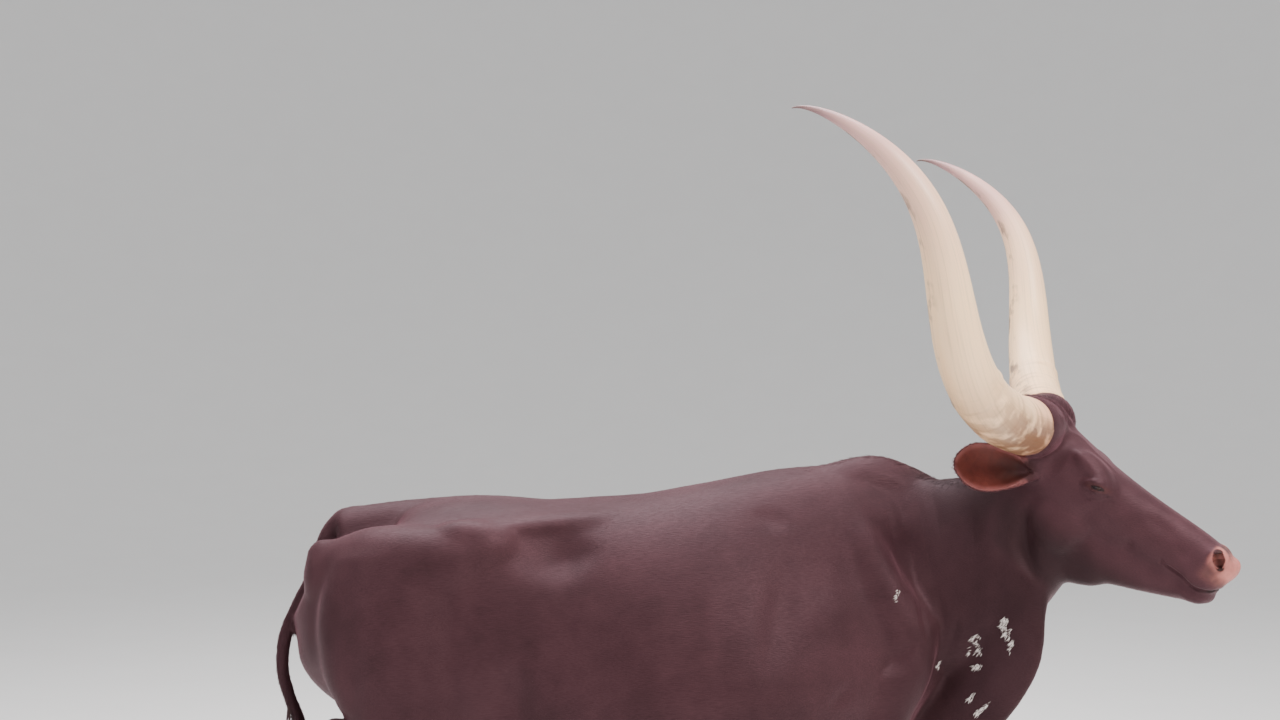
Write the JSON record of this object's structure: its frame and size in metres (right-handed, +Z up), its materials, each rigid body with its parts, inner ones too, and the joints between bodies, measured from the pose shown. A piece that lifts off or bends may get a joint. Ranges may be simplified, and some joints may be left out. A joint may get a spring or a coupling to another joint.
{
  "type": "long-horned cow, standing",
  "caption": "Life-size still model of a slender dark red-brown long-horned cow, standing with its head lowered and turned to its right; sweeping horns, open ears, hooves and a tufted tail",
  "frame": {"origin": "on the floor under the middle of the part's bounding box", "axes": "+X points to the cow's front, +Y to its left, +Z up"},
  "size_m": [2.171, 1.2271, 2.1124],
  "materials": {
    "hide": "short sleek dark mahogany coat with a soft mauve sheen",
    "bare_skin": "thin-haired brownish pink skin",
    "long_hair": "long dark brown hair in locks",
    "horn": "ivory horn, dirty brown at the base, mauve-brown at the tip",
    "hoof": "dark grey-brown horn with fine growth lines",
    "eye": "wet, very dark brown"
  },
  "bodies": {
    "root": {"head": "hide", "neck": "hide", "torso": "hide", "udder": "bare_skin", "leg_fore_left": "hide", "leg_fore_right": "hide", "leg_hind_left": "hide", "leg_hind_right": "hide", "leg_fore_left_claw_left": "hoof", "leg_fore_left_claw_right": "hoof", "leg_fore_right_claw_left": "hoof", "leg_fore_right_claw_right": "hoof", "leg_hind_left_claw_left": "hoof", "leg_hind_left_claw_right": "hoof", "leg_hind_right_claw_left": "hoof", "leg_hind_right_claw_right": "hoof", "ear_left": "hide", "ear_right": "hide", "eye_left": "eye", "eye_right": "eye", "horn_left": "horn", "horn_right": "horn", "tail": "hide", "tail_switch": "long_hair"}
  },
  "joints": []
}
